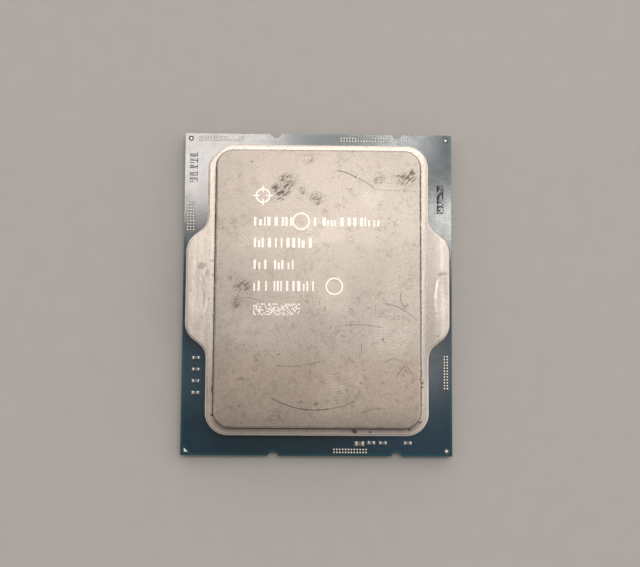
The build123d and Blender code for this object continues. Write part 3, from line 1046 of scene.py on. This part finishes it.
def stroke(finish, start, end, bow, width, level):
    """A fine curved line from start to end at a level of the lid, bowed to its left by bow mm."""
    least_bow = 0.02
    chord = Vector(end) - Vector(start)
    bow = bow if abs(bow) > least_bow else math.copysign(least_bow, bow)
    radius = (chord.length ** 2 / 4 + bow ** 2) / (2 * abs(bow))
    left = Vector((-chord.y, chord.x)).normalized() * math.copysign(1, bow)
    centre = (Vector(start) + Vector(end)) / 2 - left * (radius - abs(bow))
    arm = finish.from_point((*centre, level))
    off_line = abs(finish.length(arm) - radius)
    along = abs(finish.reach(arm, (-left.y, left.x, 0.0)))
    front = finish.reach(arm, (left.x, left.y, 0.0)).above(0.0)
    on_line = off_line.fade(width, width * 0.25)
    on_span = along.fade(chord.length / 2 + 0.15, chord.length / 2 - 0.35)
    return on_line * on_span * front


def patch(finish, middle, half_size, turn=0.0, soft=0.5):
    """A soft oval on the lid, 1 in its middle and 0 at its edge."""
    arm = finish.from_point((*middle, 0.0))
    cos, sin = math.cos(math.radians(turn)), math.sin(math.radians(turn))
    across = finish.reach(arm, (cos / half_size[0], sin / half_size[0], 0.0))
    along = finish.reach(arm, (-sin / half_size[1], cos / half_size[1], 0.0))
    return across.squared_plus(along * along).root().fade(1.0, 1.0 - soft)


# The seat: fine grain over a broad change of tone, with painted shade that makes it warmer and
# darker towards its near end.
seat = Finish("nickel_plated_seat", (0.42, 0.37, 0.32), 0.42, metallic=1.0)
broad = seat.cloud(11.0, warp=0.4)
mottle = seat.cloud(0.55, detail=4.0, rough=0.65)
grain = seat.cloud(0.17)
seat.colour = seat.tint(broad.fade(0.35, 0.65), (0.398, 0.362, 0.326), (0.436, 0.399, 0.361))
# Painted shade: the seat grows warmer and darker towards its near end.
seat.stain(seat.y.fade(-5.0, -12.0), (0.97, 0.915, 0.87), how="MULTIPLY")
seat.stain(1.0, mottle.between(0.80, 1.20) * grain.between(0.60, 1.40), how="MULTIPLY")


def scuff_set(turn, reach, level):
    """Fine parallel scuffs at one angle, reach times as long as wide, broken up by a cloud."""
    place = seat.moved((turn, 0, 0), turn, (reach, 1.0, 1.0))
    lines = seat.cloud(0.12, detail=1.0, place=place).fade(level - 0.03, level + 0.04)
    return lines * seat.cloud(3.0 + turn / 100).fade(0.42, 0.62)


scuffs = most(scuff_set(*each) for each in (
    (12.0, 30.0, 0.700), (67.0, 22.0, 0.705), (-38.0, 26.0, 0.700), (-80.0, 34.0, 0.695)))
seat.stain(scuffs * 0.50, (0.25, 0.20, 0.16))

# Short hooked scrapes, drawn where a warped cloud passes its middle value.
hooks = seat.cloud(0.62, detail=3.0, rough=0.62, warp=1.8)
hooks = abs(hooks - 0.5).fade(0.034, 0.010)
hook_zone = seat.cloud(2.6, detail=3.0, rough=0.6).fade(0.42, 0.66)
hook_break = seat.cloud(0.9, place=seat.moved((5.0, 3.0, 1.0))).fade(0.46, 0.56)
hooks = hooks * (hook_zone * hook_break)
seat.stain(hooks * 0.95, (0.17, 0.14, 0.115))

# Longer scratches: start, end, bow, width and strength.
scratches = (
    ((2.44, 16.72), (5.35, 15.6), 0.22, 0.11, 0.8), ((5.35, 15.67), (7.8, 14.15), 0.15, 0.09, 0.6),
    ((7.73, 14.18), (13.6, 14.0), -0.12, 0.07, 0.4), ((3.6, 14.4), (5.4, 12.4), 0.1, 0.07, 0.35),
    ((-6.35, -14.4), (1.74, -15.9), -0.78, 0.12, 1.0),
    ((1.6, -15.92), (5.1, -14.85), -0.2, 0.1, 0.8),
    ((5.05, -14.88), (5.8, -13.1), -0.1, 0.08, 0.4),
    ((5.78, -16.55), (8.8, -15.85), 0.18, 0.2, 0.42),
    ((-5.8, -10.08), (-2.1, -10.14), -0.12, 0.09, 0.6),
    ((-1.9, -10.08), (1.1, -9.35), -0.08, 0.09, 0.6),
    ((-0.86, -9.92), (-1.02, -11.83), 0.0, 0.08, 0.5),
    ((-11.63, -10.46), (-11.11, -10.92), 0.0, 0.08, 0.3),
    ((-10.52, -11.7), (-9.86, -12.28), 0.03, 0.1, 0.85),
    ((-9.22, -12.72), (-8.25, -13.4), 0.03, 0.09, 0.7),
    ((-12.75, -14.9), (-11.15, -13.2), 0.12, 0.08, 0.55),
    ((-11.1, -15.65), (-9.3, -15.64), 0.0, 0.1, 0.25),
    ((-5.3, -17.05), (-5.7, -17.95), 0.0, 0.09, 0.45),
    ((-6.1, -8.5), (-5.78, -8.0), 0.0, 0.08, 0.4), ((-4.25, -8.36), (-3.3, -8.12), 0.0, 0.08, 0.4),
    ((11.5, 0.1), (11.92, -2.1), -0.42, 0.09, 0.75),
    ((9.0, -1.55), (13.65, -4.02), 0.45, 0.08, 0.7), ((3.35, -4.65), (8.9, -4.9), 0.22, 0.09, 0.6),
    ((11.66, -3.0), (11.59, -5.0), 0.0, 0.07, 0.45), ((6.15, 0.0), (7.2, -0.55), 0.0, 0.08, 0.5),
    ((7.9, -1.65), (7.85, -3.25), 0.0, 0.1, 0.3), ((0.18, -1.2), (0.22, -1.9), 0.0, 0.1, 0.5),
    ((0.99, -1.95), (0.93, -2.85), 0.0, 0.11, 0.6), ((0.1, -2.45), (0.01, -3.22), 0.0, 0.1, 0.5),
    ((1.92, -4.7), (1.62, -5.16), 0.0, 0.11, 0.65), ((5.97, -6.95), (6.0, -8.42), 0.0, 0.08, 0.6),
    ((4.0, -7.38), (6.48, -4.88), 0.15, 0.08, 0.3), ((-0.96, -7.1), (-0.81, -7.78), 0.0, 0.1, 0.4),
    ((-0.48, -8.2), (0.42, -8.36), 0.0, 0.09, 0.4),
    ((9.02, -9.84), (10.38, -8.98), 0.05, 0.09, 0.65),
    ((11.89, -9.0), (11.88, -9.85), 0.0, 0.07, 0.35),
    ((12.06, -9.95), (10.72, -11.74), -0.16, 0.1, 0.7),
    ((12.03, -9.95), (13.0, -11.38), 0.0, 0.09, 0.65),
    ((12.8, -14.16), (13.5, -14.16), 0.0, 0.09, 0.4),
    ((3.26, -8.55), (3.26, -9.36), 0.0, 0.08, 0.4),
    ((6.17, -9.15), (6.18, -10.08), 0.0, 0.08, 0.4),
    ((-10.7, -0.95), (-6.4, -2.5), 0.55, 0.09, 0.45),
    ((-11.7, -1.1), (-10.9, -2.1), 0.1, 0.14, 0.45), ((-2.25, 14.0), (-2.2, 13.2), 0.0, 0.11, 0.6),
    ((-0.25, 13.35), (-0.15, 12.6), 0.0, 0.12, 0.6),
    ((-5.7, 12.75), (-5.2, 12.62), 0.0, 0.14, 0.8), ((10.0, 16.05), (12.4, 15.95), 0.0, 0.1, 0.45),
)
scratch_dark = most(
    stroke(seat, start, end, bow, width, seat_z) * strength
    for start, end, bow, width, strength in scratches)
scratch_break = seat.cloud(0.5, detail=3.0, rough=0.7).between(0.50, 1.35)
scratch_dark = (scratch_dark * scratch_break).capped()

# Smears of dried paste and dark specks: middle, half size, turn and strength.
smears = (
    ((-4.6, 15.6), (1.3, 0.62), 15.0, 1.0), ((-5.9, 14.2), (0.9, 0.6), 0.0, 0.75),
    ((-4.7, 13.5), (1.1, 0.6), 25.0, 0.8), ((-2.2, 13.8), (0.55, 1.0), 0.0, 0.55),
    ((-5.2, 12.7), (0.7, 0.35), 0.0, 0.9), ((-4.8, 14.4), (3.2, 1.7), 50.0, 0.75),
    ((-0.2, 12.25), (0.65, 0.55), 0.0, 0.9), ((-0.3, 13.0), (1.2, 1.1), 0.0, 0.6),
    ((-9.2, 17.9), (0.26, 0.22), 0.0, 1.0), ((12.9, 16.5), (0.65, 0.8), 20.0, 1.0),
    ((12.1, 15.8), (1.0, 0.55), 0.0, 0.9), ((12.2, 15.6), (2.0, 1.4), 0.0, 0.6),
    ((10.9, 16.0), (1.3, 0.22), 0.0, 0.8), ((8.3, 15.4), (1.1, 0.9), 0.0, 0.5),
    ((-10.7, 15.7), (0.55, 1.6), 0.0, 0.3), ((-10.9, -1.6), (1.15, 0.95), 35.0, 0.85),
    ((-10.3, 0.6), (1.8, 1.5), 0.0, 0.6), ((-11.6, 1.9), (1.2, 1.0), 0.0, 0.35),
    ((7.84, -0.75), (0.2, 0.24), 0.0, 1.0), ((6.93, -2.28), (0.3, 0.19), 20.0, 0.9),
    ((10.1, -1.12), (0.26, 0.15), 0.0, 0.7), ((9.49, -1.83), (0.26, 0.19), 0.0, 0.9),
    ((11.87, -2.06), (0.28, 0.24), 30.0, 1.0), ((12.26, -1.81), (0.18, 0.24), 0.0, 0.9),
    ((13.21, -0.77), (0.26, 0.18), 0.0, 0.8), ((8.95, -6.58), (0.24, 0.34), 0.0, 0.8),
    ((11.8, -6.74), (0.3, 0.19), -30.0, 0.75), ((5.98, -8.35), (0.2, 0.18), 0.0, 0.9),
    ((-2.17, -15.08), (0.48, 0.32), 15.0, 0.95), ((-1.55, -15.18), (0.22, 0.34), 20.0, 0.85),
    ((-0.2, -15.28), (0.55, 0.38), 0.0, 0.95), ((-5.7, -17.92), (0.26, 0.22), 0.0, 0.9),
    ((-5.23, -8.61), (0.24, 0.18), 30.0, 0.75), ((-1.0, -11.83), (0.26, 0.2), 0.0, 0.85),
    ((6.38, -10.67), (0.28, 0.17), 20.0, 0.85), ((8.93, -12.34), (0.34, 0.2), -10.0, 0.95),
    ((5.92, -12.43), (0.38, 0.18), -15.0, 0.7), ((6.01, -8.27), (0.17, 0.26), 0.0, 0.65),
    ((9.03, -13.83), (0.4, 0.35), 0.0, 0.5), ((-2.82, -0.22), (0.26, 0.24), 0.0, 0.6),
    ((1.75, -4.95), (0.24, 0.34), -30.0, 0.75), ((12.3, -12.6), (0.45, 0.32), 0.0, 0.45),
)
smear_dark = most(
    patch(seat, middle, half_size, turn, soft=0.75) * strength
    for middle, half_size, turn, strength in smears)
smear_place = seat.moved(turn=35.0, stretch=(3.4, 1.0, 1.0))
smear_break = seat.cloud(0.22, detail=3.0, rough=0.65, warp=0.35, place=smear_place)
smear_dark = (smear_dark * smear_break.fade(0.46, 0.58).between(0.12, 1.50)).capped()

# Finger marks: middle of the print, its half size, turn, and where its ridges curl about.
prints = (
    ((-10.6, -4.9), (4.2, 2.7), -25.0, (-16.5, -10.5)),
    ((-9.2, 7.0), (3.6, 2.6), 20.0, (-13.5, 13.0)), ((0.9, 8.3), (4.8, 2.5), 10.0, (-3.0, 2.0)),
    ((2.0, -1.0), (3.4, 2.6), 60.0, (8.0, 3.5)), ((10.0, -6.2), (3.8, 3.2), -15.0, (8.5, -16.0)),
    ((7.6, 13.2), (3.0, 1.9), 35.0, (3.5, 17.5)), ((3.5, -12.6), (3.8, 2.4), 25.0, (1.0, -5.0)),
)
ridge_pitch = 0.34


def finger_print(middle, half_size, turn, curl):
    """Bright ridges inside one oval, kept only where a cloud lets them hold."""
    wave = seat.add("ShaderNodeTexWave", wave_type="RINGS", rings_direction="Z")
    curled = seat.moved((*curl, seat_z), turn, (1.0, 1.18, 1.0))
    for socket, value in (("Vector", curled), ("Scale", wave_repeat / ridge_pitch),
                          ("Distortion", 2.2), ("Detail", 2.0), ("Detail Scale", 0.55)):
        seat.plug(wave.inputs[socket], value)
    held = patch(seat, middle, half_size, turn, soft=0.55)
    held = held * seat.cloud(1.6, detail=3.0).fade(0.32, 0.62)
    return Amount(seat, wave.outputs["Fac"]) * held


ridges = most(finger_print(*each) for each in prints)
seat.stain(ridges * 0.19, (0.96, 0.90, 0.82))
dark_marks = (scratch_dark * 0.90).at_least(smear_dark * 0.76)
seat.stain(dark_marks, (0.095, 0.078, 0.065))

# A painted highlight runs along the raised seat's lip, broken up by a cloud.
seat_edge = out_from_seat(seat)
lip = seat_edge.fade(-0.42, -0.18) * seat.z.fade(seat_z - 0.30, seat_z - 0.05)
lip_highlight = (lip * seat.cloud(1.1, detail=3.0).between(-0.1, 0.6)).capped()
seat.stain(lip_highlight, (0.86, 0.79, 0.72))
seat_relief = seat.relief(grain, 0.0032)
seat_relief = seat.relief(mottle, 0.0045, under=seat_relief)
seat.coat(
    base_color=seat.colour,
    roughness=mottle.between(0.37, 0.46).at_least(dark_marks.between(0.0, 0.72)),
    metallic=dark_marks.between(1.0, 0.25),
    normal=seat_relief,
)

# The flange and the wall: streaked along the sides by the press, greyer over the right side,
# painted with shade that warms and darkens them towards the near end and the left, and a little
# darker at the ear tips.
flange = Finish("nickel_plated_flange", (0.50, 0.46, 0.42), 0.38, metallic=1.0)
flange_x, flange_y, height = flange.x, flange.y, flange.z
wall_distance = out_from_seat(flange)
flange_mottle = flange.cloud(0.55, detail=4.0, rough=0.65)
flange_grain = flange.cloud(0.17)
streak = flange.cloud(0.16, detail=3.0, place=flange.moved(stretch=(1.0, 16.0, 1.0)))
roll_band = flange.cloud(0.8, place=flange.moved((3.0, 0.0, 0.0), stretch=(1.0, 40.0, 1.0)))
on_side = abs(flange_y - seat_centre_y).fade(18.9, 18.0)
flange_band = roll_band.fade(0.62, 0.35) * on_side
# Greyer over the right side of the flange, above its near end.
right_side_grey = flange_x.fade(14.30, 15.10) * flange_y.fade(-13.5, -9.0) * flange_x.fade(17.4, 15.9)
flange.colour = flange.tint(flange_band, (0.545, 0.512, 0.470), (0.462, 0.425, 0.386))
flange.stain(right_side_grey * 0.90, (0.345, 0.316, 0.292))
# Painted shade: warmer and darker towards the near end and the left.
near_end_shade = flange_y.fade(-6.0, -13.0) * flange_x.fade(11.0, -9.0)
flange.stain(near_end_shade, (0.90, 0.845, 0.81), how="MULTIPLY")
ear_tip = abs(flange_x).fade(16.2, 17.8) * flange_y.fade(-4.0, 3.0)
flange.stain(ear_tip, (0.88, 0.88, 0.88), how="MULTIPLY")
streaks = flange.reckon("MULTIPLY_ADD", streak.between(-0.30, 0.30), on_side, 1.0)
flange.stain(1.0, streaks, how="MULTIPLY")
flange_shade = flange_mottle.between(0.84, 1.16) * flange_grain.between(0.66, 1.34)
flange.stain(1.0, flange_shade, how="MULTIPLY")

# Grime has packed into the root of the seat's wall, and painted shade darkens the same crease.
root_line = wall_distance.fade(0.30, 0.12)
root_specks = wall_distance.fade(0.95, 0.10)
root_specks = root_specks * flange.cloud(0.24, detail=3.0, rough=0.6).fade(0.62, 0.70)
root_grime_and_shade = root_line * flange.cloud(0.36, detail=4.0, rough=0.6).between(-0.95, 3.10)
root_grime_and_shade = root_grime_and_shade.capped().at_least(root_specks)
root_grime_and_shade = root_grime_and_shade * height.fade(flange_z - 0.25, flange_z - 0.15)
root_grime_and_shade = root_grime_and_shade * height.fade(flange_z + 0.40, flange_z + 0.08)
root_grime_and_shade = root_grime_and_shade * wall_distance.fade(-0.2, -0.05)
flange.stain(root_grime_and_shade * 0.90, (0.040, 0.031, 0.027))

# A painted shadow darkens the flange in front of the seat's near end, where the raised seat blocks
# light from the far side.
near_wall_painted_shadow = wall_distance.fade(0.98, 0.45) * flange_y.fade(-16.6, -18.9)
near_wall_painted_shadow = (near_wall_painted_shadow * flange.cloud(0.9, detail=3.0).between(0.60, 1.05)).capped()
near_wall_painted_shadow = near_wall_painted_shadow * height.fade(flange_z + 0.40, flange_z + 0.08)
flange.stain(near_wall_painted_shadow, (0.215, 0.170, 0.155))

# Spots of grease and dirt: middle, half size, turn and strength.
flange_spots = (
    ((-16.0, 3.5), (0.8, 0.7), 20.0, 0.4), ((-15.2, 2.5), (0.45, 0.6), 0.0, 0.3),
    ((17.2, 2.6), (0.9, 0.3), 10.0, 0.35), ((-14.66, 4.25), (0.14, 0.12), 0.0, 0.8),
    ((-14.93, -1.06), (0.13, 0.12), 0.0, 0.8), ((-17.38, 0.12), (0.12, 0.14), 0.0, 0.7),
    ((-15.93, -3.59), (0.13, 0.11), 0.0, 0.7), ((16.39, -2.8), (0.15, 0.12), 0.0, 0.8),
    ((15.73, -2.0), (0.12, 0.12), 0.0, 0.7), ((17.8, -0.05), (0.11, 0.14), 0.0, 0.6),
    ((16.58, -5.95), (0.13, 0.12), 0.0, 0.7), ((5.12, -19.02), (0.5, 0.32), -15.0, 1.6),
    ((7.26, -19.08), (0.24, 0.2), 0.0, 1.4), ((14.36, -12.37), (0.28, 0.16), 0.0, 1.5),
    ((14.34, -13.0), (0.26, 0.15), 0.0, 1.3), ((14.1, -17.72), (0.34, 0.15), 30.0, 1.3),
    ((12.58, -18.71), (0.26, 0.2), 0.0, 1.4), ((14.57, -15.33), (0.12, 0.12), 0.0, 0.6),
    ((-14.36, -13.3), (0.18, 0.6), 0.0, 1.1), ((-14.3, -16.9), (0.26, 0.2), 0.0, 1.3),
    ((6.7, 20.4), (0.3, 0.14), 0.0, 0.6),
)
spot_dark = most(
    patch(flange, middle, half_size, turn, soft=0.6) * strength
    for middle, half_size, turn, strength in flange_spots)
spot_break = flange.cloud(0.26, detail=3.0, rough=0.65).fade(0.34, 0.56)
spot_dark = (spot_dark * spot_break.between(0.35, 1.30)).capped() * 0.92
flange.stain(spot_dark, (0.070, 0.052, 0.050))

# Painted highlights brighten the inner edge of each dimple and the flange's rolled rim, where these
# slopes would catch the light.
dimple_edge_highlight = most([
    stroke(flange, start, end, bow, width, flange_z) * strength
    for start, end, bow, width, strength in (
        ((-15.62, -3.10), (-16.35, 2.10), -0.62, 0.24, 0.42),
        ((16.75, 2.00), (16.30, -1.00), -0.20, 0.24, 0.62),
        ((16.30, -0.60), (16.45, -3.40), -0.12, 0.20, 0.25),
    )
])
dimple_edge_highlight = (dimple_edge_highlight * streak.fade(0.36, 0.60).between(0.35, 1.10)).capped()
# Painted highlight on the rolled rim, picked out by how steeply the surface faces.
uprightness = flange.reach(flange.facing, (0.0, 0.0, 1.0))
rim = uprightness.fade(0.995, 0.94) * uprightness.fade(0.15, 0.50)
rim = rim * wall_distance.fade(0.30, 0.45)
rim = (rim * flange.cloud(1.4, detail=3.0).between(0.45, 1.20)).capped()
flange.stain(dimple_edge_highlight.at_least(rim), (0.93, 0.87, 0.80))

dull = root_grime_and_shade.at_least(spot_dark)
flange_relief = flange.relief(flange_grain, 0.0024)
flange.coat(
    base_color=flange.colour,
    roughness=streak.between(0.34, 0.42).at_least(dull.between(0.0, 0.72)),
    metallic=dull.between(1.0, 0.25),
    normal=flange.relief(flange_mottle, 0.0035, under=flange_relief),
)
for face in lid.faces:
    face.material_index = int(face.calc_center_median().z / mm > (flange_z + seat_z) / 2)
pressed_lid = assemble("pressed_lid", lid, flange, ["lid"])
pressed_lid.data.materials.append(seat.material)

# ---- Frosted lid marks ------------------------------------------------------------------------
# A laser frosts the plating pale without cutting it. The marks are plain and generic: a sight
# target, four rows of tick bars, two open rings and a block of dots.
frost_under, frost_over = 0.002, 0.004
frost_z = (seat_z - frost_under, seat_z + frost_over)
cross_lift = 0.0005
cross_z = (frost_z[0], frost_z[1] + cross_lift)
row_left = -8.80
row_tail = 0.2
# Each row: lower and upper edge, and where it ends on the right.
frost_rows = ((8.98, 10.17, 8.60), (5.97, 7.30, -0.65), (2.98, 4.25, -3.25), (0.00, 1.38, 0.05))
bar_widths = (0.22, 0.22, 0.30, 0.42)
bar_gaps = (0.20, 0.26, 0.36, 0.56)
bar_shortenings = (0.0, 0.0, 0.0, 0.35)
bar_fill = 0.86
open_rings = ((-2.35, 9.62, 1.10), (2.25, 0.70, 1.10))
ring_clearance = 0.35
ring_line = 0.20
target_place, target_radius = (-7.62, 13.15), 0.92
cross_ends = ((-1.35, -0.45), (0.45, 1.35))
cross_half_line = 0.08
dot_block_x = (-8.80, -2.35)
dot_block_y = (-3.30, -1.72)
dot_pitch = 0.20
dot_gap = 0.015
dot_fill = 0.52

frost_finish = Finish("laser_frosting", (0.90, 0.85, 0.79), 0.45, metallic=0.8)
frost_grain = frost_finish.cloud(0.10, detail=3.0, rough=0.7).fade(0.25, 0.7)
frost_finish.surface(frost_grain, (0.74, 0.69, 0.63), (0.99, 0.96, 0.92),
                     roughness=(0.38, 0.50), depth=0.003)
frost = bmesh.new()
chance = random.Random(23)
for y0, y1, right in frost_rows:
    x = row_left
    while x < right - row_tail:
        near_ring = any(math.hypot(x - ring_x, (y0 + y1) / 2 - ring_y) < radius + ring_clearance
                        for ring_x, ring_y, radius in open_rings)
        width = chance.choice(bar_widths)
        top = y1 - chance.choice(bar_shortenings)
        if not near_ring and chance.random() < bar_fill:
            box_bar(frost, x, x + width, y0, top, *frost_z)
        x += width + chance.choice(bar_gaps)
for x, y, radius in (*open_rings, (*target_place, target_radius)):
    ring_bar(frost, x, y, radius, ring_line, *frost_z)
x, y = target_place
for start, end in cross_ends:
    box_bar(frost, x + start, x + end, y - cross_half_line, y + cross_half_line, *cross_z)
    box_bar(frost, x - cross_half_line, x + cross_half_line, y + start, y + end, *cross_z)
for row in range(round((dot_block_y[1] - dot_block_y[0]) / dot_pitch)):
    for column in range(round((dot_block_x[1] - dot_block_x[0]) / dot_pitch)):
        if chance.random() < dot_fill:
            x = dot_block_x[0] + column * dot_pitch
            y = dot_block_y[0] + row * dot_pitch
            box_bar(frost, x + dot_gap, x + dot_pitch - dot_gap,
                    y + dot_gap, y + dot_pitch - dot_gap, *frost_z)
assemble("frosted_marks", frost, frost_finish)
